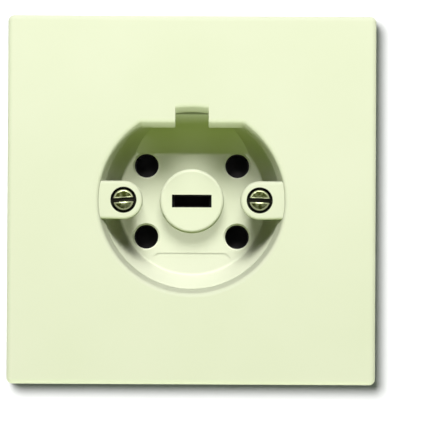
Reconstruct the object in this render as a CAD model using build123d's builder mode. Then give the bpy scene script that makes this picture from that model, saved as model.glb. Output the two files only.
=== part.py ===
from build123d import *
import os
from math import radians, tan

# Flush five-pole wall socket for three-phase plugs, in millimetres.
# The wall's surface is the plane Y = 0, the user stands on the -Y side, and +Z is up.
# Heights run out of the wall towards the user, so the height h lies at Y = -h.

# Cover plate
plate_side = 100.0
plate_height = 10.0
plate_wall = 2.4
plate_edge_r = 1.3
plate_corner_extra = 0.3
skirt_wall = 2.0
collar_wall = 2.5
rib_wall = 1.4
rib_offset = 14.5

# Opening and recess, sized at the front of the cover
opening_r = 25.5
opening_edge_r = 1.3
flat_drop = 4.3
notch_width = 9.1
web_corner_r = 1.6
recess_taper = 15.0
recess_depth = 19.0
recess_floor_r = 0.8
flat_foot_z = 13.2
flat_lean = 37.0
seam_drop = 5.2
seam_gap = 0.2

# Ears and cover screws
ear_r = 5.2
ear_drop = 1.0
ear_edge_r = 0.9
ear_overhang = 0.3
cover_screw_x = 18.5
cover_screw_length = 10.0
cover_thread_r = 1.75
cover_head_r = 3.0
cover_head_height = 2.5
cover_head_gap = 0.5
cover_head_sink = 0.2
cover_slot_width = 1.0
cover_slot_depth = 1.1
cover_slot_turns = {-1: 4.0, 1: -2.0}
bush_r = 2.9
bush_length = 9.0
bush_sink = 0.2
bush_groove = 0.3
bush_groove_width = 1.1
bush_groove_spacing = 2.8

# Socket face
insert_wall = 1.7
seat_width = 1.5
floor_wall = 2.6
pin_r = 3.0
pin_spacing_x = 25.0
pin_spacing_z = 19.6
pin_hole_gap = 0.3
pin_hole_lead = 0.45
boss_r = 8.8
boss_height = 5.0
boss_edge_r = 0.9
boss_wall = 1.6
pad_width = 21.4
pad_top_z = -14.2
pad_height = 6.0
pad_corner_r = 2.0
pad_depth = 0.4
lug_r = 4.2
lug_boss_r = 3.4
lug_clearance = 0.8

# Carrier plate on the wall, with slots for the wall box's screws
carrier_side = 71.0
carrier_wall = 1.5
carrier_corner_r = 6.0
carrier_clearance = 0.2
box_screw_spacing = 60.0
box_slot_width = 4.2
box_slot_length = 7.0
carrier_thread_r = 1.45
carrier_head_r = 2.8
carrier_screw_length = 5.2
carrier_slot_depth = 0.7

# Terminal base
base_wall = 2.0
base_step = 0.9
register_step = 1.2
register_depth = 1.4
base_edge = 1.0
base_thread_r = 1.5
base_head_r = 2.75
base_head_height = 2.0
base_head_sink = 1.0
base_slot_depth = 1.0
column_web = 1.2
mark_width = 4.4
mark_height = 3.4
mark_corner_r = 0.6
mark_depth = 0.4
mark_reach = 5.9

# Contacts and terminals
sleeve_wall = 1.05
sleeve_length = 11.0
sleeve_front_gap = 0.4
slit_width = 0.7
slit_depth = 9.5
pin_bore_depth = 10.5
groove_depth = 0.35
groove_width = 2.2
groove_drop = 2.0
spring_wall = 0.6
spring_mouth = 3.0
contact_flange_step = 0.8
contact_flange_wall = 1.5
terminal_length = 7.3
wire_bore_r = 1.9
wire_bore_depth = 6.5
wire_funnel = 0.9
terminal_thread_r = 1.75
terminal_head_r = 2.75
terminal_head_height = 1.8
terminal_head_stand = 1.2
terminal_slot_depth = 0.9

# Earth contact
earth_blade_width = 10.4
earth_blade_wall = 3.0
earth_slot_gap = 0.25
leaf_wall = 0.8
leaf_margin = 0.4
leaf_pinch = 2.6
leaf_flare = 1.0
leaf_lead = 3.0
leaf_root_gap = 5.0
leaf_bend_r = 0.9
leaf_depth = 15.0
earth_cavity_gap = 1.0
strap_width = 6.0
earth_terminal_z = -15.2
rivet_r = 2.0
rivet_head_step = 0.8
rivet_head_wall = 0.7
hold_down_length = 2.4

# All screws
screw_edge = 0.35
small_slot_width = 0.8
slot_overrun = 1.0

# Fits
free_fit = 0.15
thread_fit = 0.05
clamp_gap = 0.15
hole_fit = 0.25

# Heights and radii worked out from the sizes above
taper_rate = tan(radians(recess_taper))
flat_rate = tan(radians(flat_lean))
flat_z = opening_r - flat_drop
seam_height = plate_height - seam_drop
rim_height = seam_height - seam_gap
ear_height = plate_height - ear_drop
floor_height = plate_height - recess_depth
floor_rear = floor_height - floor_wall
boss_top = floor_height + boss_height
hollow_top = plate_height - plate_wall
mouth = plate_height + plate_wall
collar_r = opening_r + collar_wall
insert_r = opening_r - (plate_height - carrier_wall) * taper_rate + insert_wall
flange_r = insert_r + seat_width
floor_r = opening_r - recess_depth * taper_rate
lug_circle_r = collar_r + lug_boss_r + lug_clearance
lug_top = hollow_top - lug_clearance
counterbore_r = cover_head_r + cover_head_gap
counterbore_depth = cover_head_height + cover_head_sink
column_r = ear_r - ear_overhang
bush_top = seam_height - bush_sink
bush_bottom = bush_top - bush_length
pilot_top = bush_bottom - column_web
base_r = insert_r - base_step
spigot_r = base_r - register_step
skirt_rear = floor_rear - register_depth
pin_hole_r = pin_r + pin_hole_gap
pin_bore_r = pin_r + thread_fit
sleeve_r = pin_bore_r + sleeve_wall
groove_r = sleeve_r - groove_depth
spring_r = groove_r + thread_fit
contact_flange_r = sleeve_r + contact_flange_step
chamber_r = contact_flange_r + free_fit
terminal_chamber_r = sleeve_r + free_fit
sleeve_front = floor_rear - sleeve_front_gap
contact_flange_front = sleeve_front - sleeve_length
terminal_front = contact_flange_front - contact_flange_wall
terminal_rear = terminal_front - terminal_length
base_floor = terminal_rear - free_fit
base_rear = base_floor - base_wall
base_head_seat = base_rear + base_head_sink + base_head_height
terminal_screw_height = terminal_rear + terminal_length / 2
terminal_seat = sleeve_r + terminal_head_stand
terminal_shank = terminal_seat - wire_bore_r - clamp_gap
leaf_tip = boss_top - boss_wall - earth_cavity_gap / 2
strap_front = leaf_tip - leaf_depth
strap_rear = strap_front - leaf_wall
leaf_width = earth_blade_width - 2 * leaf_margin
earth_cavity_x = earth_blade_width + 2 * earth_cavity_gap
earth_cavity_z = leaf_root_gap + 2 * leaf_wall + 2 * earth_cavity_gap
strap_end_r = rivet_r + rivet_head_step + free_fit

poles = {
    "l1": (-pin_spacing_x / 2, pin_spacing_z / 2),
    "l2": (pin_spacing_x / 2, pin_spacing_z / 2),
    "l3": (pin_spacing_x / 2, -pin_spacing_z / 2),
    "n": (-pin_spacing_x / 2, -pin_spacing_z / 2),
}
earth_place = (0.0, earth_terminal_z)
mark_places = [(x - mark_reach * (1 if x > 0 else -1), z) for x, z in poles.values()]
mark_places.append((0.0, earth_terminal_z + mark_reach))

os.makedirs("parts", exist_ok=True)


def level(height, x=0.0, z=0.0):
    """Sketch plane parallel to the wall at this height, facing the user."""
    return Plane(origin=(x, -height, z), x_dir=(1, 0, 0), z_dir=(0, -1, 0))


def rear_level(height, x=0.0, z=0.0):
    """Sketch plane parallel to the wall at this height, facing into the wall."""
    return Plane(origin=(x, -height, z), x_dir=(1, 0, 0), z_dir=(0, 1, 0))


def pole_level(place, height):
    """Plane across a pole's axis at this height, with its x axis pointing away from the socket's axis."""
    x, z = place
    return Plane(origin=(x, -height, z), x_dir=(x, 0, z), z_dir=(0, -1, 0))


def screw_plane(place, reach):
    """Plane across a terminal screw's axis, this far out from the axis of its pole."""
    across = pole_level(place, terminal_screw_height)
    return Plane(origin=across.origin + across.x_dir * reach, x_dir=(0, 1, 0), z_dir=across.x_dir)


def recess_radius(height):
    """Radius of the tapered recess at this height."""
    return opening_r - (plate_height - height) * taper_rate


def tapered_hollow(bottom):
    """Round tapered hollow from in front of the cover down to this height."""
    with BuildPart() as hollow:
        with BuildSketch(Plane.XY):
            with BuildLine():
                Polyline(
                    (0, -mouth),
                    (recess_radius(mouth), -mouth),
                    (recess_radius(bottom), -bottom),
                    (0, -bottom),
                    close=True,
                )
            make_face()
        revolve(axis=Axis.Y)
    return hollow.part


def slotted_screw(seat, head_r, head_height, shank_r, shank_length, slot_width, slot_depth, turn=0.0):
    """Cheese-head screw that stands on the seat plane, with its shank behind the plane."""
    with BuildPart() as screw:
        with BuildSketch(seat):
            Circle(head_r)
        extrude(amount=head_height - screw_edge)
        with BuildSketch(seat.offset(head_height - screw_edge)):
            Circle(head_r)
        extrude(amount=screw_edge, taper=45)
        with BuildSketch(seat):
            Circle(shank_r)
        extrude(amount=-shank_length)
        with BuildSketch(seat.offset(head_height)):
            Rectangle(2 * (head_r + slot_overrun), slot_width, rotation=turn)
        extrude(amount=-slot_depth, mode=Mode.SUBTRACT)
    return screw.part


def export(piece, name):
    """Label one finished piece and write it as a node of its own."""
    piece.label = name
    export_step(piece, f"parts/{name}.step")


# Recess: a round tapered hollow down to the floor of the socket face, with a leaning flat at its top
web_reach = 2 * opening_r
with BuildPart() as recess:
    add(tapered_hollow(floor_height))
    with BuildSketch(Plane.YZ.offset(-web_reach)):
        with BuildLine():
            Polyline(
                (-floor_height, flat_foot_z),
                (-mouth, flat_foot_z + (mouth - floor_height) * flat_rate),
                (-mouth, web_reach),
                (-floor_height, web_reach),
                close=True,
            )
        make_face()
    extrude(amount=2 * web_reach, mode=Mode.SUBTRACT)
    fillet(recess.faces().sort_by(Axis.Y)[-1].edges(), recess_floor_r)

# Opening of the cover: the mouth of the recess, closed at the top by a flat web
with BuildPart() as opening:
    add(tapered_hollow(rim_height))
    with BuildSketch(Plane.YZ.offset(-web_reach)):
        with BuildLine():
            Polyline(
                (-mouth, flat_z + plate_wall * taper_rate),
                (-rim_height, flat_z - (plate_height - rim_height) * taper_rate),
                (-rim_height, web_reach),
                (-mouth, web_reach),
                close=True,
            )
        make_face()
    extrude(amount=2 * web_reach, mode=Mode.SUBTRACT)
    depth_edges = opening.edges().filter_by(lambda e: e.bounding_box().size.Y > plate_wall)
    fillet(depth_edges.filter_by(lambda e: abs(e.center().X) > notch_width), web_corner_r)

# Key notch: a sharp-sided gap in the web that opens the round mouth again, with its eased edge
with BuildPart() as notch:
    with BuildSketch(level(rim_height)):
        with Locations((0, opening_r)):
            Rectangle(notch_width, 2 * (flat_drop + collar_wall))
    extrude(amount=mouth - rim_height)
    with BuildSketch(Plane.XY) as rim:
        with BuildLine():
            Polyline(
                (recess_radius(rim_height), -rim_height),
                (opening_r, -plate_height),
                (web_reach, -plate_height),
                (web_reach, -rim_height),
                close=True,
            )
        make_face()
        fillet(rim.vertices().group_by(Axis.Y)[0].sort_by(Axis.X)[0], opening_edge_r)
    revolve(axis=Axis.Y, mode=Mode.SUBTRACT)

# Ears: two rounded lugs that carry the cover screws
with BuildPart() as ears:
    for side in (1, -1):
        with BuildSketch(level(seam_height)):
            with Locations((side * cover_screw_x, 0)):
                Circle(ear_r)
            with Locations((side * (cover_screw_x + opening_r + opening_edge_r) / 2, 0)):
                Rectangle(opening_r + opening_edge_r - cover_screw_x, 2 * ear_r)
        extrude(amount=ear_height - seam_height)
    fillet(ears.faces().filter_by(Axis.Y).group_by(Axis.Y)[0].edges(), ear_edge_r)

# Cover plate: square shell with a skirt to the wall, a collar round the opening and ribs behind
with BuildPart() as cover_plate:
    with BuildSketch(level(0)):
        RectangleRounded(plate_side, plate_side, plate_edge_r + plate_corner_extra)
    extrude(amount=plate_height)
    fillet(cover_plate.faces().sort_by(Axis.Y)[0].edges(), plate_edge_r)
    with BuildSketch(level(0)):
        Rectangle(plate_side - 2 * skirt_wall, plate_side - 2 * skirt_wall)
    extrude(amount=hollow_top, mode=Mode.SUBTRACT)
    with BuildSketch(level(seam_height)):
        Circle(collar_r)
        for turn in (0, 90):
            with Locations(Location((0, 0), turn)):
                with GridLocations(2 * rib_offset, 1, 2, 1):
                    Rectangle(rib_wall, plate_side - skirt_wall)
    extrude(amount=hollow_top - seam_height)
    add(opening.part, mode=Mode.SUBTRACT)
    fillet(cover_plate.faces().sort_by(Axis.Y)[0].inner_wires().edges(), opening_edge_r)
    add(notch.part, mode=Mode.SUBTRACT)
    add(ears.part)
    with Locations(level(ear_height)):
        with GridLocations(2 * cover_screw_x, 1, 2, 1):
            CounterBoreHole(cover_thread_r + hole_fit, counterbore_r, counterbore_depth)
export(cover_plate.part, "cover_plate")

# Cover screws, each turned a little as it was left
cover_screw_pair = [
    slotted_screw(
        level(ear_height - counterbore_depth, side * cover_screw_x),
        cover_head_r,
        cover_head_height,
        cover_thread_r,
        cover_screw_length,
        cover_slot_width,
        cover_slot_depth,
        turn,
    )
    for side, turn in cover_slot_turns.items()
]
with BuildPart() as cover_screws:
    add(cover_screw_pair)
export(cover_screws.part, "cover_screws")

# Threaded bushes in the columns, each with two grooves that key it into the moulding
with BuildPart() as cover_screw_bushes:
    with BuildSketch(level(bush_top)):
        with GridLocations(2 * cover_screw_x, 1, 2, 1):
            Circle(bush_r)
            Circle(cover_thread_r + thread_fit, mode=Mode.SUBTRACT)
    extrude(amount=-bush_length)
    for number in (1, 2):
        with BuildSketch(level(bush_top - number * bush_groove_spacing)):
            with GridLocations(2 * cover_screw_x, 1, 2, 1):
                Circle(bush_r + bush_groove)
                Circle(bush_r - bush_groove, mode=Mode.SUBTRACT)
        extrude(amount=-bush_groove_width, mode=Mode.SUBTRACT)
export(cover_screw_bushes.part, "cover_screw_bushes")

# Socket face: stepped cup with the recess, columns, boss, pin holes and fixing lugs
with BuildPart() as socket_face:
    with BuildSketch(Plane.XY):
        with BuildLine():
            Polyline(
                (0, -rim_height),
                (flange_r, -rim_height),
                (flange_r, -carrier_wall),
                (insert_r, -carrier_wall),
                (insert_r, -skirt_rear),
                (spigot_r + free_fit, -skirt_rear),
                (spigot_r + free_fit, -floor_rear),
                (0, -floor_rear),
                close=True,
            )
        make_face()
    revolve(axis=Axis.Y)
    with BuildSketch(level(carrier_wall)):
        with PolarLocations(lug_circle_r, 4, start_angle=45):
            Circle(lug_r)
        with PolarLocations((lug_circle_r + insert_r) / 2, 4, start_angle=45):
            Rectangle(lug_circle_r - insert_r, 2 * lug_r)
    extrude(amount=rim_height - carrier_wall)
    with BuildSketch(level(rim_height)):
        with PolarLocations(lug_circle_r, 4, start_angle=45):
            Circle(lug_boss_r)
    extrude(amount=lug_top - rim_height)
    add(recess.part, mode=Mode.SUBTRACT)
    with BuildSketch(level(floor_height)):
        for side in (1, -1):
            with Locations((side * cover_screw_x, 0)):
                Circle(column_r)
            with Locations((side * (cover_screw_x + insert_r) / 2, 0)):
                Rectangle(insert_r - cover_screw_x, 2 * column_r)
        Circle(insert_r - free_fit, mode=Mode.INTERSECT)
    extrude(amount=seam_height - floor_height)
    with BuildSketch(level(floor_height)):
        Circle(boss_r)
    extrude(amount=boss_height)
    boss_rim = socket_face.edges().filter_by(GeomType.CIRCLE).filter_by(
        lambda e: abs(e.radius - boss_r) < 0.01 and abs(e.center().Y + boss_top) < 0.01
    )
    fillet(boss_rim, boss_edge_r)
    with Locations(level(floor_height)):
        with GridLocations(pin_spacing_x, pin_spacing_z, 2, 2):
            CounterSinkHole(pin_hole_r, pin_hole_r + pin_hole_lead, floor_wall, 90)
    with BuildSketch(level(boss_top)):
        Rectangle(earth_blade_width + 2 * earth_slot_gap, earth_blade_wall + 2 * earth_slot_gap)
    extrude(amount=-boss_height, mode=Mode.SUBTRACT)
    with BuildSketch(level(floor_rear)):
        Rectangle(earth_cavity_x, earth_cavity_z)
    extrude(amount=boss_top - boss_wall - floor_rear, mode=Mode.SUBTRACT)
    with BuildSketch(level(floor_height)):
        with Locations((0, pad_top_z - pad_height / 2)):
            RectangleRounded(pad_width, pad_height, pad_corner_r)
        Circle(floor_r - recess_floor_r, mode=Mode.INTERSECT)
    extrude(amount=-pad_depth, mode=Mode.SUBTRACT)
    with BuildSketch(level(bush_top)):
        with GridLocations(2 * cover_screw_x, 1, 2, 1):
            Circle(bush_r)
    extrude(amount=-bush_length, mode=Mode.SUBTRACT)
    with BuildSketch(level(seam_height)):
        with GridLocations(2 * cover_screw_x, 1, 2, 1):
            Circle(bush_r)
    extrude(amount=-bush_sink, mode=Mode.SUBTRACT)
    with BuildSketch(level(floor_rear)):
        with GridLocations(2 * cover_screw_x, 1, 2, 1):
            Circle(base_thread_r + thread_fit)
    extrude(amount=pilot_top - floor_rear, mode=Mode.SUBTRACT)
    with BuildSketch(level(carrier_wall)):
        with PolarLocations(lug_circle_r, 4, start_angle=45):
            Circle(carrier_thread_r + thread_fit)
    extrude(amount=carrier_screw_length - carrier_wall + free_fit, mode=Mode.SUBTRACT)
    with BuildSketch(level(floor_rear)):
        with Locations((0, (earth_terminal_z - earth_cavity_z / 2 + strap_end_r) / 2)):
            Rectangle(strap_width, hold_down_length)
    extrude(amount=strap_front + free_fit - floor_rear)
export(socket_face.part, "socket_face")

# Carrier plate
with BuildPart() as carrier_plate:
    with BuildSketch(level(0)):
        RectangleRounded(carrier_side, carrier_side, carrier_corner_r)
        Circle(insert_r + carrier_clearance, mode=Mode.SUBTRACT)
        for turn in (0, 90):
            with Locations(Location((0, 0), turn)):
                with GridLocations(box_screw_spacing, 1, 2, 1):
                    SlotOverall(box_slot_length, box_slot_width, mode=Mode.SUBTRACT)
    extrude(amount=carrier_wall)
    with Locations(rear_level(0)):
        with PolarLocations(lug_circle_r, 4, start_angle=45):
            CounterSinkHole(carrier_thread_r + hole_fit, carrier_head_r + free_fit, carrier_wall, 90)
export(carrier_plate.part, "carrier_plate")

# Countersunk screws that hold the carrier to the lugs of the socket face
with BuildPart() as carrier_screws:
    with BuildSketch(level(0)):
        with PolarLocations(lug_circle_r, 4, start_angle=45):
            Circle(carrier_head_r)
    extrude(amount=carrier_head_r - carrier_thread_r, taper=45)
    with BuildSketch(level(0)):
        with PolarLocations(lug_circle_r, 4, start_angle=45):
            Circle(carrier_thread_r)
    extrude(amount=carrier_screw_length)
    with BuildSketch(level(0)):
        with PolarLocations(lug_circle_r, 4, start_angle=45):
            Rectangle(2 * (carrier_head_r + slot_overrun), small_slot_width)
    extrude(amount=carrier_slot_depth, mode=Mode.SUBTRACT)
export(carrier_screws.part, "carrier_screws")

# Terminal base: rear moulding with a stepped chamber for each contact
with BuildPart() as terminal_base:
    with BuildSketch(level(base_rear)):
        Circle(base_r)
    extrude(amount=skirt_rear - free_fit - base_rear)
    chamfer(terminal_base.edges().sort_by(Axis.Y)[-1], base_edge)
    with BuildSketch(level(skirt_rear - free_fit)):
        Circle(spigot_r)
    extrude(amount=register_depth + free_fit)
    for place in poles.values():
        with BuildSketch(pole_level(place, floor_rear)):
            Circle(chamber_r)
        extrude(amount=terminal_front - floor_rear, mode=Mode.SUBTRACT)
    with BuildSketch(level(floor_rear)):
        Rectangle(earth_cavity_x, earth_cavity_z)
        with Locations((0, earth_terminal_z / 2)):
            Rectangle(strap_width + 2 * free_fit, -earth_terminal_z)
        with Locations(earth_place):
            Circle(terminal_chamber_r)
    extrude(amount=strap_rear - floor_rear, mode=Mode.SUBTRACT)
    for place in (*poles.values(), earth_place):
        with BuildSketch(pole_level(place, strap_rear)):
            Circle(terminal_chamber_r)
        extrude(amount=base_floor - strap_rear, mode=Mode.SUBTRACT)
        with Locations(rear_level(base_rear, *place)):
            CounterSinkHole(wire_bore_r + hole_fit, wire_bore_r + hole_fit + wire_funnel, base_wall, 90)
        with BuildSketch(screw_plane(place, 0)):
            Circle(terminal_head_r + hole_fit)
        extrude(amount=base_r, mode=Mode.SUBTRACT)
    with Locations(rear_level(base_rear)):
        with GridLocations(2 * cover_screw_x, 1, 2, 1):
            CounterBoreHole(
                base_thread_r + free_fit, base_head_r + hole_fit, base_head_sink + base_head_height
            )
    with BuildSketch(rear_level(base_rear)):
        with Locations(*[(x, -z) for x, z in mark_places]):
            RectangleRounded(mark_width, mark_height, mark_corner_r)
    extrude(amount=-mark_depth, mode=Mode.SUBTRACT)
export(terminal_base.part, "terminal_base")

# Long screws that close the base onto the socket face
base_screw_pair = [
    slotted_screw(
        rear_level(base_head_seat, side * cover_screw_x),
        base_head_r,
        base_head_height,
        base_thread_r,
        pilot_top - clamp_gap - base_head_seat,
        small_slot_width,
        base_slot_depth,
    )
    for side in (1, -1)
]
with BuildPart() as base_screws:
    add(base_screw_pair)
export(base_screws.part, "base_screws")

# Contact sleeves, one for each pole, with their spring rings
for pole, place in poles.items():
    with BuildPart() as contact:
        with BuildSketch(pole_level(place, sleeve_front)):
            Circle(sleeve_r)
        extrude(amount=terminal_rear - sleeve_front)
        with BuildSketch(pole_level(place, contact_flange_front)):
            Circle(contact_flange_r)
        extrude(amount=-contact_flange_wall)
        with BuildSketch(pole_level(place, sleeve_front)):
            Circle(pin_bore_r)
        extrude(amount=-pin_bore_depth, mode=Mode.SUBTRACT)
        with BuildSketch(pole_level(place, sleeve_front)):
            Rectangle(3 * sleeve_r, slit_width)
            Rectangle(slit_width, 3 * sleeve_r)
        extrude(amount=-slit_depth, mode=Mode.SUBTRACT)
        with BuildSketch(pole_level(place, sleeve_front - groove_drop)):
            Circle(2 * sleeve_r)
            Circle(groove_r, mode=Mode.SUBTRACT)
        extrude(amount=-groove_width, mode=Mode.SUBTRACT)
        with BuildSketch(pole_level(place, terminal_rear)):
            Circle(wire_bore_r)
        extrude(amount=wire_bore_depth, mode=Mode.SUBTRACT)
        with BuildSketch(screw_plane(place, 0)):
            Circle(terminal_thread_r + thread_fit)
        extrude(amount=2 * sleeve_r, mode=Mode.SUBTRACT)
    export(contact.part, f"contact_{pole}")

    with BuildPart() as sleeve_spring:
        with BuildSketch(pole_level(place, sleeve_front - groove_drop - free_fit)):
            Circle(spring_r + spring_wall)
            Circle(spring_r, mode=Mode.SUBTRACT)
            with Locations((-spring_r, 0)):
                Rectangle(2 * spring_r, spring_mouth, mode=Mode.SUBTRACT)
        extrude(amount=2 * free_fit - groove_width)
    export(sleeve_spring.part, f"sleeve_spring_{pole}")

# Earth contact: two sprung leaves bent from one strip, with a strap to the earth terminal
pinch_line = leaf_pinch / 2 + leaf_wall / 2
tip_line = pinch_line + leaf_flare
root_line = leaf_root_gap / 2 + leaf_wall / 2
bridge_line = strap_front - leaf_wall / 2
with BuildPart() as earth_contact:
    with BuildSketch(Plane.YZ):
        with BuildLine():
            FilletPolyline(
                (-leaf_tip, tip_line),
                (leaf_lead - leaf_tip, pinch_line),
                (-bridge_line, root_line),
                (-bridge_line, -root_line),
                (leaf_lead - leaf_tip, -pinch_line),
                (-leaf_tip, -tip_line),
                radius=leaf_bend_r,
            )
        trace(line_width=leaf_wall)
    extrude(amount=leaf_width / 2, both=True)
    with BuildSketch(level(strap_front)):
        with Locations((0, earth_terminal_z / 2)):
            Rectangle(strap_width, -earth_terminal_z)
        with Locations(earth_place):
            Circle(strap_end_r)
            Circle(rivet_r + thread_fit, mode=Mode.SUBTRACT)
    extrude(amount=-leaf_wall)
export(earth_contact.part, "earth_contact")

# Spring clip round the two leaves, just behind their narrowest place
leaf_slope = (root_line - pinch_line) / (leaf_depth - leaf_lead)
clip_x = leaf_width + 2 * thread_fit
clip_z = leaf_pinch + 2 * leaf_wall + 2 * leaf_slope * groove_width + 2 * thread_fit
with BuildPart() as earth_spring:
    with BuildSketch(level(leaf_tip - leaf_lead)):
        Rectangle(clip_x + 2 * spring_wall, clip_z + 2 * spring_wall)
        Rectangle(clip_x, clip_z, mode=Mode.SUBTRACT)
        with Locations((0, -clip_z / 2)):
            Rectangle(spring_mouth, 3 * spring_wall, mode=Mode.SUBTRACT)
    extrude(amount=-groove_width)
export(earth_spring.part, "earth_spring")

# Earth terminal, riveted to the strap
with BuildPart() as earth_terminal:
    with BuildSketch(pole_level(earth_place, strap_rear)):
        Circle(sleeve_r)
    extrude(amount=terminal_rear - strap_rear)
    with BuildSketch(pole_level(earth_place, strap_rear)):
        Circle(rivet_r)
    extrude(amount=leaf_wall)
    with BuildSketch(pole_level(earth_place, strap_front)):
        Circle(rivet_r + rivet_head_step)
    extrude(amount=rivet_head_wall)
    with BuildSketch(pole_level(earth_place, terminal_rear)):
        Circle(wire_bore_r)
    extrude(amount=wire_bore_depth, mode=Mode.SUBTRACT)
    with BuildSketch(screw_plane(earth_place, 0)):
        Circle(terminal_thread_r + thread_fit)
    extrude(amount=2 * sleeve_r, mode=Mode.SUBTRACT)
export(earth_terminal.part, "earth_terminal")

# Terminal screws, one in each terminal
terminal_screw_set = [
    slotted_screw(
        screw_plane(place, terminal_seat),
        terminal_head_r,
        terminal_head_height,
        terminal_thread_r,
        terminal_shank,
        small_slot_width,
        terminal_slot_depth,
    )
    for place in (*poles.values(), earth_place)
]
with BuildPart() as terminal_screws:
    add(terminal_screw_set)
export(terminal_screws.part, "terminal_screws")
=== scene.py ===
from math import radians

import bpy
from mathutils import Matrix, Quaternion, Vector


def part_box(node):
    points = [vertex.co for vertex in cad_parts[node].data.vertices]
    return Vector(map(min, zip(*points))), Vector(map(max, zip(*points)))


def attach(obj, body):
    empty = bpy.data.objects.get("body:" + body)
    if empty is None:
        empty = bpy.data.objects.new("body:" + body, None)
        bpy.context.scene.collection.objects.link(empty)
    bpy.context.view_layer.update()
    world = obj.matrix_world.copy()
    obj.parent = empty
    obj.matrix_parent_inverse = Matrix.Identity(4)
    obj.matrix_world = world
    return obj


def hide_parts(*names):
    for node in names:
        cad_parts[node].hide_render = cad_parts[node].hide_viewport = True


# Flush five-pole wall socket: finishes, a few finer pieces, stage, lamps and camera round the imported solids.
# Metres, in the solids' own frame: the wall is the plane Y = 0, the user is on the -Y side, +Z is up.

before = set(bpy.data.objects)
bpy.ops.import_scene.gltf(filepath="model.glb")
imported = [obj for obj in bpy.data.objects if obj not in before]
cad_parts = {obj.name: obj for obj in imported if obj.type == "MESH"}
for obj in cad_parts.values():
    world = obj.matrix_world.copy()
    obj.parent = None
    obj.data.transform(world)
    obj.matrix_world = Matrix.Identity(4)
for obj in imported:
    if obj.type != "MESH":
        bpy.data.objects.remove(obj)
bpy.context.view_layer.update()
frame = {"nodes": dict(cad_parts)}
nodes = frame["nodes"]
mm = 0.001

# Photograph: its width, and the plate's width and place in it, in pixels
photo_width = 440
plate_pixels = 368.8
plate_centre_pixel = Vector((191.45, 200.1))
photo_centre_pixel = Vector((220.0, 217.5))

# Camera
camera_distance = 1.1
camera_right = 4.0 * mm
camera_below = 23.0 * mm
camera_roll = radians(0.29)
sensor_width = 36.0

# Lamps: the side that each stands on, its distance and size, and its power in watts
key_distance = 0.85
key_towards = Vector((-0.02, -1.0, 0.48))
key_size = 0.25
key_power = 7.28
recess_towards = Vector((-0.01, -1.0, 0.90))
recess_size = 0.45
recess_power = 5.1
bounce_size = 0.25
bounce_power = 3.6
top_lamp_distance = 1.4
top_lamp_towards = Vector((0.0, -1.0, 1.4))
top_lamp_size = 0.45
top_lamp_power = 4.6
low_lamp_distance = 0.7
low_lamp_towards = Vector((0.0, -0.08, -1.0))
low_lamp_size = 0.15
low_lamp_power = 2.4
wall_lamp_distance = 1.2
wall_lamp_towards = Vector((-0.22, -1.0, 0.25))
wall_lamp_size = 0.52
wall_lamp_power = 17.5
rear_lamp_distance = 0.9
rear_lamp_towards = Vector((-0.5, 1.0, 0.7))
rear_lamp_size = 0.5
rear_lamp_power = 9.0

# Fill from the world, the turn between its two colours, and the glow of the wall and the floor
fill_above = (0.02, 0.025, 0.01)
fill_below = (0.34, 0.46, 0.105)
fill_turn = -0.45
fill_spread = 1.0
wall_glow = (0.01, 0.0, 0.055)
floor_glow = (0.50, 0.50, 0.48)

# Stage
stage_size = 6.0
wall_gap = 0.2 * mm
wall_overlap = 0.3 * mm
floor_drop = 0.9

# Places read from the solids
plate_low, plate_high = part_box("cover_plate")
plate_side = plate_high.x - plate_low.x
plate_front = plate_low.y
screws_low, screws_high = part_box("cover_screws")
base_low, base_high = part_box("terminal_base")

# Cover screws
head_r = 3.0 * mm
head_top = -screws_low.y
head_height = 2.5 * mm
screw_tip = -screws_high.y
screw_x = screws_high.x - head_r
slot_width = 1.0 * mm
slot_depth = 1.1 * mm
slot_turns = {"left": radians(4.0), "right": radians(-2.0)}
thread_root_r = 1.42 * mm
thread_crest_r = 1.73 * mm
thread_pitch = 0.6 * mm
thread_runout = 1.2 * mm
turning_sides = 72

# Pin holes, the earth slot and the gaps round the cover screws, where shade is painted black
pole_x = 12.5 * mm
pole_z = 9.8 * mm
bore_shade_r = 3.7 * mm
earth_slot_x = 5.8 * mm
earth_slot_z = 2.1 * mm
screw_gap_shade_r = 3.55 * mm

# Terminal marks on the base's rear
mark_x = 6.6 * mm
mark_z = 9.8 * mm
earth_mark_z = -9.3 * mm
mark_floor = base_high.y - 0.4 * mm
mark_rise = 0.3 * mm
mark_sink = 0.05 * mm
mark_letter = 3.1 * mm


class Value:
    """One output of a node; arithmetic on it adds Math nodes."""

    def __init__(self, nodes, socket):
        self.nodes = nodes
        self.socket = socket

    def math(self, operation, *terms, clamp=False):
        settings = {"operation": operation, "use_clamp": clamp}
        return self.nodes.node("ShaderNodeMath", settings, dict(enumerate(terms)))

    def __add__(self, other):
        return self.math("ADD", self, other)

    def __sub__(self, other):
        return self.math("SUBTRACT", self, other)

    def __rsub__(self, other):
        return self.math("SUBTRACT", other, self)

    def __mul__(self, other):
        return self.math("MULTIPLY", self, other)

    def __abs__(self):
        return self.math("ABSOLUTE", self)

    __radd__ = __add__
    __rmul__ = __mul__

    def below(self, limit, soft):
        """1 well below the limit, 0 well above it, with a soft step this wide."""
        half = soft / 2
        sockets = {"Value": self, "From Min": limit - half, "From Max": limit + half, "To Min": 1.0, "To Max": 0.0}
        return self.nodes.node("ShaderNodeMapRange", {"interpolation_type": "SMOOTHSTEP"}, sockets)

    def above(self, limit, soft):
        return 1 - self.below(limit, soft)


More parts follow.
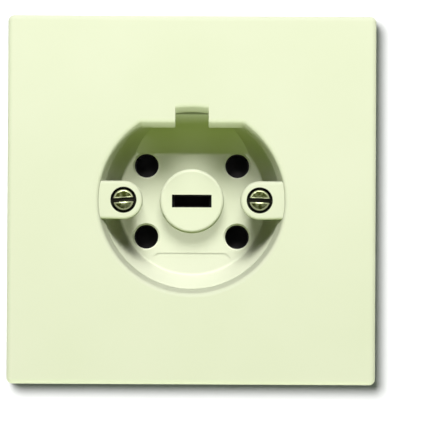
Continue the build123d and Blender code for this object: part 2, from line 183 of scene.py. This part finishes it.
class Nodes:
    """A node tree and the ways that nodes are added to it."""

    def __init__(self, tree):
        self.tree = tree

    def node(self, kind, settings=None, sockets=None, out=0):
        """Add a node of this kind, set it up, feed its sockets and return one of its outputs."""
        made = self.tree.nodes.new(kind)
        for name, value in (settings or {}).items():
            if name == "stops":
                self.set_stops(made.color_ramp, value)
            else:
                setattr(made, name, value)
        for name, value in (sockets or {}).items():
            self.feed(made.inputs[name], value)
        return Value(self, made.outputs[out])

    def feed(self, socket, value):
        if isinstance(value, Value):
            self.tree.links.new(value.socket, socket)
        else:
            socket.default_value = value

    @staticmethod
    def set_stops(ramp, stops):
        while len(ramp.elements) < len(stops):
            ramp.elements.new(1.0)
        for element, (position, colour) in zip(ramp.elements, stops):
            element.position = position
            element.color = colour

    def blend(self, share, first, second):
        """Colour between the first and the second by this share."""
        settings = {"data_type": "RGBA"}
        return self.node("ShaderNodeMix", settings, {0: share, 6: first, 7: second}, out=2)

    def seen_directly(self):
        """1 for camera, mirror and see-through rays, 0 for the light that falls on the object."""
        camera, mirror, through = [
            self.node("ShaderNodeLightPath", out=f"Is {ray} Ray") for ray in ("Camera", "Glossy", "Transmission")
        ]
        return (camera + mirror).math("ADD", camera + mirror, through, clamp=True)


class Paint(Nodes):
    """One procedural material, with a Principled shader at its end."""

    def __init__(self, name, **constants):
        self.material = bpy.data.materials.new(name)
        self.material.use_nodes = True
        super().__init__(self.material.node_tree)
        self.shader = self.tree.nodes["Principled BSDF"]
        for socket, value in constants.items():
            self.shader.inputs[socket.replace("_", " ")].default_value = value
        self.place = self.node("ShaderNodeTexCoord", out="Object")

    def axis(self, name, place=None):
        """One coordinate of the object's own frame."""
        return self.node("ShaderNodeSeparateXYZ", None, {0: place or self.place}, out=name)

    def length(self, across, up):
        """Distance from the axis, from its two coordinates."""
        return (across * across + up * up).math("SQRT", across * across + up * up)

    def noise(self, size, detail=3.0, roughness=0.5, place=None):
        """Cloudy noise between 0 and 1 whose features are about this size."""
        sockets = {"Vector": place or self.place, "Scale": 1 / size, "Detail": detail, "Roughness": roughness}
        return self.node("ShaderNodeTexNoise", None, sockets)

    def ramp(self, value, *stops):
        """Grey ramp through (position, level) stops."""
        colours = [(position, (level, level, level, 1.0)) for position, level in stops]
        return self.node("ShaderNodeValToRGB", {"stops": colours}, {"Fac": value})

    def earth_mouth(self):
        """1 straight behind the earth slot, where its shade is painted black, 0 beside it."""
        inside_x = abs(self.axis("X")).below(earth_slot_x, 0.3 * mm)
        return inside_x * abs(self.axis("Z")).below(earth_slot_z, 0.3 * mm)

    def bump(self, height, depth):
        """Surface relief from a height between 0 and 1, this deep."""
        sockets = {"Strength": 1.0, "Distance": depth, "Height": height}
        return self.node("ShaderNodeBump", None, sockets)

    def finish(self, **sockets):
        for socket, value in sockets.items():
            self.feed(self.shader.inputs[socket.replace("_", " ")], value)
        return self.material


def rgb(red, green, blue):
    return (red, green, blue, 1.0)


def cream_moulding():
    """Aged cream urea moulding: faint cloudy tone, tiny specks and a soft moulded skin, with painted shade:
    near-black in the gap round each cover screw head.
    """
    paint = Paint("cream_moulding", Specular_IOR_Level=0.08)
    cloud = paint.ramp(paint.noise(28 * mm), (0.3, 0.0), (0.7, 1.0))
    tone = paint.blend(cloud, rgb(0.805, 0.847, 0.628), rgb(0.830, 0.865, 0.658))
    speck = paint.ramp(paint.noise(0.5 * mm, detail=2), (0.68, 0.0), (0.76, 1.0))
    specked = paint.blend(speck * 0.25, tone, rgb(0.70, 0.74, 0.42))
    # Painted shade: a near-black disc round each cover screw's axis, seen as a dark ring in the gap beside the
    # head.
    off_screw = paint.length(abs(paint.axis("X")) - screw_x, paint.axis("Z"))
    colour = paint.blend(off_screw.below(screw_gap_shade_r, 0.15 * mm), specked, rgb(0.012, 0.012, 0.006))
    skin = paint.noise(0.9 * mm, detail=4)
    return paint.finish(
        Base_Color=colour,
        Roughness=0.36 + 0.14 * skin,
        Normal=paint.bump(skin, 0.012 * mm),
    )


def phenolic_moulding(name, dark, pale, fleck_colour):
    """Moulding compound with a swirl of two browns and paler filler flecks."""
    paint = Paint(name, Specular_IOR_Level=0.5)
    swirl = paint.ramp(paint.noise(9 * mm, detail=5, roughness=0.6), (0.35, 0.0), (0.7, 1.0))
    fleck = paint.ramp(paint.noise(0.7 * mm, detail=3), (0.60, 0.0), (0.70, 1.0))
    colour = paint.blend(fleck * 0.5, paint.blend(swirl, dark, pale), fleck_colour)
    skin = paint.noise(1.4 * mm, detail=4)
    return paint.finish(Base_Color=colour, Roughness=0.28 + 0.25 * skin, Normal=paint.bump(skin, 0.02 * mm))


def zinc_plate():
    """Bright zinc on rolled steel: fine grain, faint straw tint and dull handling patches."""
    paint = Paint("zinc_plate", Metallic=1.0)
    patch = paint.ramp(paint.noise(12 * mm, detail=4), (0.35, 0.0), (0.65, 1.0))
    tone = paint.blend(patch, rgb(0.62, 0.64, 0.66), rgb(0.70, 0.68, 0.60))
    grain = paint.noise(0.35 * mm, detail=2)
    return paint.finish(
        Base_Color=tone, Roughness=0.26 + 0.16 * patch + 0.12 * grain, Normal=paint.bump(grain, 0.006 * mm)
    )


def plated_screw():
    """Nickel-plated screw steel, scuffed and tarnished in patches."""
    paint = Paint("plated_screw", Metallic=1.0)
    tarnish = paint.ramp(paint.noise(1.6 * mm, detail=4, roughness=0.6), (0.46, 0.0), (0.60, 1.0))
    tone = paint.blend(tarnish, rgb(0.80, 0.79, 0.72), rgb(0.20, 0.19, 0.13))
    scuff = paint.noise(0.25 * mm, detail=3)
    return paint.finish(
        Base_Color=tone, Roughness=0.24 + 0.2 * tarnish + 0.15 * scuff, Normal=paint.bump(scuff, 0.01 * mm)
    )


def screw_with_painted_reflection(side, middle, turn):
    """Old plated screw: a dark olive patch on each half, a painted reflection broken up by cloudy tarnish, leaving
    plain metal at its rim and along the slot; painted shade makes the slot and the head's edge near-black.
    """
    paint = Paint(f"rubbed_screw_{side}", Metallic=1.0)
    turned = {"Vector": paint.place, "Location": (middle, 0, 0), "Rotation": (0, -turn, 0)}
    moved = paint.node("ShaderNodeMapping", {"vector_type": "TEXTURE"}, turned)
    across, up = paint.axis("X", moved), paint.axis("Z", moved)
    off_axis = paint.length(across, up)
    wander = 0.5 * mm * (paint.noise(0.7 * mm, detail=3) - 0.5)
    # Painted reflection: a dark olive patch inside the rim on each half of the head, clear of the slot, broken up
    # by cloudy tarnish.
    inside = (off_axis + wander).below(head_r - 0.62 * mm, 0.25 * mm)
    clear_of_slot = (abs(up) + wander).above(slot_width / 2 + 0.32 * mm, 0.2 * mm)
    cloud = paint.ramp(paint.noise(0.9 * mm, detail=4), (0.25, 0.75), (0.55, 1.0))
    tarnish = inside * clear_of_slot * cloud
    # Painted shade: near-black in the slot and round the head's edge, where it meets the gap.
    off_slot = abs(up).above(slot_width / 2 + 0.1 * mm, 0.1 * mm)
    slot_and_rim_shade = 1 - off_slot * off_axis.below(head_r - 0.2 * mm, 0.15 * mm)
    tone = paint.blend(tarnish, rgb(0.37, 0.40, 0.23), rgb(0.020, 0.025, 0.004))
    scuff = paint.noise(0.22 * mm, detail=3)
    return paint.finish(
        Base_Color=paint.blend(slot_and_rim_shade, tone, rgb(0.012, 0.012, 0.008)),
        Roughness=0.26 + 0.25 * tarnish + 0.12 * scuff,
        Normal=paint.bump(scuff, 0.012 * mm),
    )


def turned_brass():
    """Turned brass with fine tool rings and brown tarnish in patches, with painted shade: the pin bores
    near-black.
    """
    paint = Paint("turned_brass")
    tarnish = paint.ramp(paint.noise(4 * mm, detail=4), (0.40, 0.0), (0.75, 1.0))
    tone = paint.blend(tarnish, rgb(0.79, 0.56, 0.22), rgb(0.42, 0.26, 0.10))
    off_axis = paint.length(abs(paint.axis("X")) - pole_x, abs(paint.axis("Z")) - pole_z)
    # Painted shade: near-black, dull and non-metallic round each pin bore.
    bore_shade = off_axis.below(bore_shade_r, 0.3 * mm)
    ring_place = paint.node("ShaderNodeCombineXYZ", None, {"Y": paint.axis("Y")})
    ring = paint.noise(0.12 * mm, detail=2, place=ring_place)
    return paint.finish(
        Base_Color=paint.blend(bore_shade, tone, rgb(0.006, 0.005, 0.004)),
        Metallic=1 - 0.9 * bore_shade,
        Roughness=0.20 + 0.25 * tarnish + 0.10 * ring + 0.4 * bore_shade,
        Normal=paint.bump(ring, 0.008 * mm),
    )


def bronze_strip():
    """Rolled phosphor bronze with lengthwise rolling lines and warm tarnish, painted near-black as shade behind
    the earth slot.
    """
    paint = Paint("bronze_strip")
    tarnish = paint.ramp(paint.noise(5 * mm, detail=4), (0.40, 0.0), (0.75, 1.0))
    tone = paint.blend(tarnish, rgb(0.76, 0.46, 0.25), rgb(0.40, 0.20, 0.11))
    # Painted shade: near-black, dull and non-metallic behind the earth slot.
    slot_shade = paint.earth_mouth()
    line_place = paint.node("ShaderNodeCombineXYZ", None, {"X": paint.axis("X")})
    line = paint.noise(0.15 * mm, detail=2, place=line_place)
    return paint.finish(
        Base_Color=paint.blend(slot_shade, tone, rgb(0.006, 0.004, 0.003)),
        Metallic=1 - 0.9 * slot_shade,
        Roughness=0.24 + 0.22 * tarnish + 0.10 * line + 0.4 * slot_shade,
        Normal=paint.bump(line, 0.005 * mm),
    )


def spring_steel():
    """Blue-grey tempered spring steel with a faint straw heat tint, painted near-black as shade behind the earth
    slot.
    """
    paint = Paint("spring_steel")
    heat = paint.ramp(paint.noise(3 * mm, detail=3), (0.35, 0.0), (0.70, 1.0))
    tone = paint.blend(heat, rgb(0.26, 0.29, 0.36), rgb(0.44, 0.37, 0.28))
    grain = paint.noise(0.3 * mm, detail=2)
    # Painted shade: near-black, dull and non-metallic behind the earth slot.
    slot_shade = paint.earth_mouth()
    return paint.finish(
        Base_Color=paint.blend(slot_shade, tone, rgb(0.004, 0.004, 0.004)),
        Metallic=1 - 0.9 * slot_shade,
        Roughness=0.30 + 0.18 * grain + 0.4 * slot_shade,
        Normal=paint.bump(grain, 0.004 * mm),
    )


def dress(names, material):
    """Give these solids one finish."""
    for name in names:
        slots = nodes[name].data.materials
        slots.clear()
        slots.append(material)


poles = ("l1", "l2", "l3", "n")
filler_fleck = rgb(0.16, 0.085, 0.045)
dress(["cover_plate", "socket_face"], cream_moulding())
# What the pale mouldings throw back at each other is left to the bounce and top lamps
for name in ("cover_plate", "socket_face"):
    nodes[name].visible_diffuse = False
base_brown = phenolic_moulding("base_brown", rgb(0.022, 0.013, 0.009), rgb(0.060, 0.032, 0.018), filler_fleck)
dress(["terminal_base"], base_brown)
dress(["carrier_plate"], zinc_plate())
dress(["cover_screws", "carrier_screws", "base_screws", "terminal_screws"], plated_screw())
dress(["cover_screw_bushes", "earth_terminal"] + [f"contact_{pole}" for pole in poles], turned_brass())
dress(["earth_contact"], bronze_strip())
dress(["earth_spring"] + [f"sleeve_spring_{pole}" for pole in poles], spring_steel())


def apply_modifiers(piece):
    bpy.context.view_layer.objects.active = piece
    for name in [modifier.name for modifier in piece.modifiers]:
        bpy.ops.object.modifier_apply(modifier=name)


def settle(piece, material):
    """Put the piece's place into its mesh, dress it and let it ride with the socket."""
    bpy.ops.object.select_all(action="DESELECT")
    piece.select_set(True)
    bpy.context.view_layer.objects.active = piece
    bpy.ops.object.transform_apply(location=True, rotation=True, scale=True)
    bpy.ops.object.shade_smooth_by_angle(angle=radians(32))
    piece.data.materials.clear()
    piece.data.materials.append(material)
    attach(piece, "root")


def turned_blank(name, profile):
    """Closed turning on the Z axis through these (radius, height) steps, from its foot up."""
    bpy.ops.object.select_all(action="DESELECT")
    radius, height = profile[0]
    bpy.ops.mesh.primitive_circle_add(
        vertices=turning_sides, radius=radius, fill_type="NGON", location=(0, 0, height)
    )
    blank = bpy.context.object
    blank.name = name
    bpy.ops.object.transform_apply()
    bpy.ops.object.mode_set(mode="EDIT")
    bpy.ops.mesh.select_all(action="SELECT")
    for next_radius, next_height in profile[1:]:
        rise = (0, 0, next_height - height)
        bpy.ops.mesh.extrude_region_move(TRANSFORM_OT_translate={"value": rise})
        share = next_radius / radius
        bpy.ops.transform.resize(value=(share, share, 1), center_override=(0, 0, 0))
        radius, height = next_radius, next_height
    bpy.ops.mesh.select_all(action="SELECT")
    bpy.ops.mesh.normals_make_consistent(inside=False)
    bpy.ops.object.mode_set(mode="OBJECT")
    return blank


def screw_thread(bottom, top):
    """Thread ridge wound on the Z axis, its foot sunk in the core."""
    bpy.ops.object.select_all(action="DESELECT")
    middle_r = (thread_root_r + thread_crest_r) / 2
    bpy.ops.mesh.primitive_plane_add(size=1, location=(middle_r, 0, bottom), rotation=(radians(90), 0, 0))
    ridge = bpy.context.object
    ridge.scale = (thread_crest_r - thread_root_r + 0.1 * mm, thread_pitch * 0.8, 1)
    bpy.ops.object.transform_apply()
    for vertex in ridge.data.vertices:
        vertex.select = vertex.co.x > middle_r
    bpy.ops.object.mode_set(mode="EDIT")
    bpy.ops.mesh.select_mode(type="VERT")
    bpy.ops.transform.resize(value=(1, 1, 0.25), center_override=(0, 0, bottom))
    bpy.ops.mesh.select_all(action="SELECT")
    bpy.ops.mesh.delete(type="ONLY_FACE")
    bpy.ops.object.mode_set(mode="OBJECT")
    winding = ridge.modifiers.new("winding", "SCREW")
    winding.axis = "Z"
    winding.screw_offset = thread_pitch
    winding.iterations = int((top - bottom) / thread_pitch)
    winding.steps = winding.render_steps = 24
    apply_modifiers(ridge)
    bpy.ops.object.mode_set(mode="EDIT")
    bpy.ops.mesh.select_all(action="SELECT")
    bpy.ops.mesh.remove_doubles(threshold=0.001 * mm)
    bpy.ops.mesh.fill_holes(sides=4)
    bpy.ops.mesh.normals_make_consistent(inside=False)
    bpy.ops.object.mode_set(mode="OBJECT")
    return ridge


def cut_slot(blank, turn):
    """Mill the driver's slot across the head and break its edges."""
    bpy.ops.object.select_all(action="DESELECT")
    bpy.ops.mesh.primitive_cube_add(size=1, location=(0, 0, head_top), rotation=(0, 0, turn))
    cutter = bpy.context.object
    cutter.scale = (4 * head_r, slot_width, 2 * slot_depth)
    milling = blank.modifiers.new("milling", "BOOLEAN")
    milling.operation = "DIFFERENCE"
    milling.object = cutter
    broken = blank.modifiers.new("broken_edges", "BEVEL")
    broken.width = 0.07 * mm
    broken.segments = 2
    broken.limit_method = "ANGLE"
    broken.angle_limit = radians(40)
    apply_modifiers(blank)
    bpy.data.objects.remove(cutter)


def cover_screw(side, middle):
    """Slotted cover screw with a slightly crowned head and a wound thread."""
    under_head = head_top - head_height
    profile = [
        (thread_root_r - 0.5 * mm, screw_tip),
        (thread_root_r, screw_tip + 0.5 * mm),
        (thread_root_r, under_head),
        (head_r - 0.12 * mm, under_head + 0.01 * mm),
        (head_r, under_head + 0.14 * mm),
        (head_r, head_top - 0.62 * mm),
        (head_r - 0.08 * mm, head_top - 0.36 * mm),
        (head_r - 0.28 * mm, head_top - 0.18 * mm),
        (head_r - 0.80 * mm, head_top - 0.07 * mm),
        (head_r - 1.60 * mm, head_top - 0.015 * mm),
        (head_r - 2.50 * mm, head_top),
    ]
    screw = turned_blank(f"cover_screw_{side}", profile)
    cut_slot(screw, slot_turns[side])
    thread = screw_thread(screw_tip + 0.6 * mm, under_head - thread_runout)
    bpy.ops.object.select_all(action="DESELECT")
    thread.select_set(True)
    screw.select_set(True)
    bpy.context.view_layer.objects.active = screw
    bpy.ops.object.join()
    screw.rotation_euler = (radians(90), 0, 0)
    screw.location = (middle, 0, 0)
    settle(screw, screw_with_painted_reflection(side, middle, slot_turns[side]))
    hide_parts("cover_screws")


def mark_text(words, x, z):
    """Raised letters on the base's rear, to be read from behind."""
    bpy.ops.object.select_all(action="DESELECT")
    bpy.ops.object.text_add()
    letters = bpy.context.object
    letters.data.body = words
    letters.data.size = mark_letter
    letters.data.align_x = "CENTER"
    letters.data.align_y = "CENTER"
    letters.data.extrude = (mark_rise + mark_sink) / 2
    letters.data.resolution_u = 6
    bpy.ops.object.convert(target="MESH")
    letters.rotation_euler = (radians(90), 0, radians(180))
    letters.location = (x, mark_floor + (mark_rise - mark_sink) / 2, z)
    return letters


def mark_bar(width, height, x, z):
    """One raised bar of the earth sign, its edges eased."""
    bpy.ops.object.select_all(action="DESELECT")
    bpy.ops.mesh.primitive_cube_add(size=1, location=(x, mark_floor + (mark_rise - mark_sink) / 2, z))
    bar = bpy.context.object
    bar.scale = (width, mark_rise + mark_sink, height)
    bpy.ops.object.transform_apply()
    eased = bar.modifiers.new("eased", "BEVEL")
    eased.width = 0.05 * mm
    eased.segments = 2
    apply_modifiers(bar)
    return bar


def terminal_marks():
    """L1, L2, L3, N and the earth sign beside their wire entries."""
    marks = []
    for pole in poles:
        low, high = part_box(f"contact_{pole}")
        x = mark_x if low.x + high.x > 0 else -mark_x
        z = mark_z if low.z + high.z > 0 else -mark_z
        marks.append(mark_text(pole.upper(), x, z))
    marks.append(mark_bar(0.36 * mm, 1.3 * mm, 0, earth_mark_z + 0.75 * mm))
    for width, drop in ((2.6, 0.0), (1.7, 0.62), (0.8, 1.24)):
        marks.append(mark_bar(width * mm, 0.34 * mm, 0, earth_mark_z - drop * mm))
    bpy.ops.object.select_all(action="DESELECT")
    for mark in marks:
        mark.select_set(True)
    bpy.context.view_layer.objects.active = marks[0]
    bpy.ops.object.transform_apply()
    bpy.ops.object.join()
    marks[0].name = "terminal_marks"
    rubbed_brown = phenolic_moulding(
        "rubbed_brown", rgb(0.30, 0.22, 0.15), rgb(0.42, 0.32, 0.22), filler_fleck
    )
    settle(marks[0], rubbed_brown)


def wall_finish():
    """White wall that keeps the shadow and isn't there when seen from behind."""
    glow = {"Emission_Color": rgb(*wall_glow), "Emission_Strength": 1.0}
    paint = Paint("wall_finish", Roughness=0.9, Specular_IOR_Level=0.0, **glow)
    haze = paint.noise(0.3)
    paint.finish(Base_Color=paint.blend(haze, rgb(0.96, 0.96, 0.96), rgb(0.99, 0.99, 0.99)))
    behind = paint.node("ShaderNodeNewGeometry", out="Backfacing")
    clear = paint.node("ShaderNodeBsdfTransparent")
    lit = Value(paint, paint.shader.outputs[0])
    shown = paint.node("ShaderNodeMixShader", None, {0: behind, 1: lit, 2: clear})
    paint.feed(paint.tree.nodes["Material Output"].inputs["Surface"], shown)
    return paint.material


def build_wall():
    """Wall behind the plate, with an opening where the insert goes in."""
    bpy.ops.object.select_all(action="DESELECT")
    bpy.ops.mesh.primitive_plane_add(size=stage_size, location=(0, wall_gap, 0), rotation=(radians(90), 0, 0))
    wall = bpy.context.object
    wall.name = "wall"
    bpy.ops.object.mode_set(mode="EDIT")
    bpy.ops.mesh.select_all(action="SELECT")
    bpy.ops.mesh.inset(thickness=(stage_size - plate_side) / 2 + wall_overlap)
    bpy.ops.mesh.delete(type="FACE")
    bpy.ops.object.mode_set(mode="OBJECT")
    wall.data.materials.append(wall_finish())
    return wall


def build_floor():
    """Plain pale floor well below the socket."""
    bpy.ops.object.select_all(action="DESELECT")
    bpy.ops.mesh.primitive_plane_add(size=stage_size, location=(0, 0, -floor_drop))
    floor = bpy.context.object
    floor.name = "floor"
    glow = {"Emission_Color": rgb(*floor_glow), "Emission_Strength": 1.0}
    paint = Paint("floor_finish", Roughness=0.8, **glow)
    haze = paint.noise(0.25)
    floor.data.materials.append(
        paint.finish(Base_Color=paint.blend(haze, rgb(0.86, 0.86, 0.84), rgb(0.90, 0.90, 0.88)))
    )
    floor.visible_diffuse = False


def light_world():
    """White to the eye and in mirrors, a soft fill that comes up from below for everything else."""
    world = bpy.data.worlds.new("studio")
    world.use_nodes = True
    bpy.context.scene.world = world
    studio = Nodes(world.node_tree)
    outward = studio.node("ShaderNodeTexCoord", out="Generated")
    height = studio.node("ShaderNodeSeparateXYZ", None, {0: outward}, out="Z")
    fill = studio.blend(height.below(fill_turn, fill_spread), rgb(*fill_above), rgb(*fill_below))
    colour = studio.blend(studio.seen_directly(), fill, rgb(1.0, 1.0, 1.0))
    studio.feed(world.node_tree.nodes["Background"].inputs["Color"], colour)


def soft_lamp(name, towards, distance, size, power):
    """Round soft box that looks at the plate's middle from this side."""
    aim = Vector((0, plate_front, 0))
    away = towards.normalized()
    bpy.ops.object.light_add(type="AREA", location=aim + away * distance)
    lamp = bpy.context.object
    lamp.name = name
    lamp.data.shape = "DISK"
    lamp.data.size = size
    lamp.data.energy = power
    lamp.rotation_mode = "QUATERNION"
    lamp.rotation_quaternion = (-away).to_track_quat("-Z", "Y")
    return lamp


def light_only(lamp, things, state):
    """Let the lamp light these things alone (INCLUDE), or everything but them (EXCLUDE)."""
    lit = bpy.data.collections.new(f"{lamp.name}_lights")
    for thing in things:
        lit.objects.link(thing)
    for link in lit.collection_objects:
        link.light_linking.link_state = state
    lamp.light_linking.receiver_collection = lit


def pass_by(lamp, thing):
    """Let this thing throw no shadow of the lamp's light, which stands in for what its pale walls throw back."""
    passed = bpy.data.collections.new(f"{lamp.name}_passes_{thing.name}")
    passed.objects.link(thing)
    passed.collection_objects[0].light_linking.link_state = "EXCLUDE"
    lamp.light_linking.blocker_collection = passed


def place_camera():
    """Camera square to the plate and a little below it, framed as in the photograph."""
    bpy.ops.object.camera_add()
    camera = bpy.context.object
    metres_per_pixel = plate_side / plate_pixels
    offset = (photo_centre_pixel - plate_centre_pixel) * metres_per_pixel
    aim = Vector((offset.x, plate_front, -offset.y))
    camera.location = (camera_right, plate_front - camera_distance, -camera_below)
    camera.data.sensor_width = sensor_width
    camera.data.lens = sensor_width * camera_distance / (photo_width * metres_per_pixel)
    camera.rotation_mode = "QUATERNION"
    look = (aim - camera.location).to_track_quat("-Z", "Y")
    camera.rotation_quaternion = look @ Quaternion((0, 0, 1), camera_roll)
    bpy.context.scene.camera = camera


cover_screw("left", -screw_x)
cover_screw("right", screw_x)
terminal_marks()
wall = build_wall()
build_floor()
light_world()
key = soft_lamp("key", key_towards, key_distance, key_size, key_power)
light_only(key, [wall, nodes["socket_face"]], "EXCLUDE")
recess_lamp = soft_lamp("recess_lamp", recess_towards, key_distance, recess_size, recess_power)
light_only(recess_lamp, [nodes["socket_face"]], "INCLUDE")
bounce = soft_lamp("bounce", recess_towards, key_distance, bounce_size, bounce_power)
light_only(bounce, [nodes["socket_face"]], "INCLUDE")
pass_by(bounce, nodes["socket_face"])
top_lamp = soft_lamp("top_lamp", top_lamp_towards, top_lamp_distance, top_lamp_size, top_lamp_power)
light_only(top_lamp, [nodes["socket_face"]], "INCLUDE")
pass_by(top_lamp, nodes["socket_face"])
low_lamp = soft_lamp("low_lamp", low_lamp_towards, low_lamp_distance, low_lamp_size, low_lamp_power)
light_only(low_lamp, [wall], "EXCLUDE")
wall_lamp = soft_lamp("wall_lamp", wall_lamp_towards, wall_lamp_distance, wall_lamp_size, wall_lamp_power)
light_only(wall_lamp, [wall], "INCLUDE")
soft_lamp("rear_lamp", rear_lamp_towards, rear_lamp_distance, rear_lamp_size, rear_lamp_power)
place_camera()
bpy.context.scene.view_settings.view_transform = "Standard"
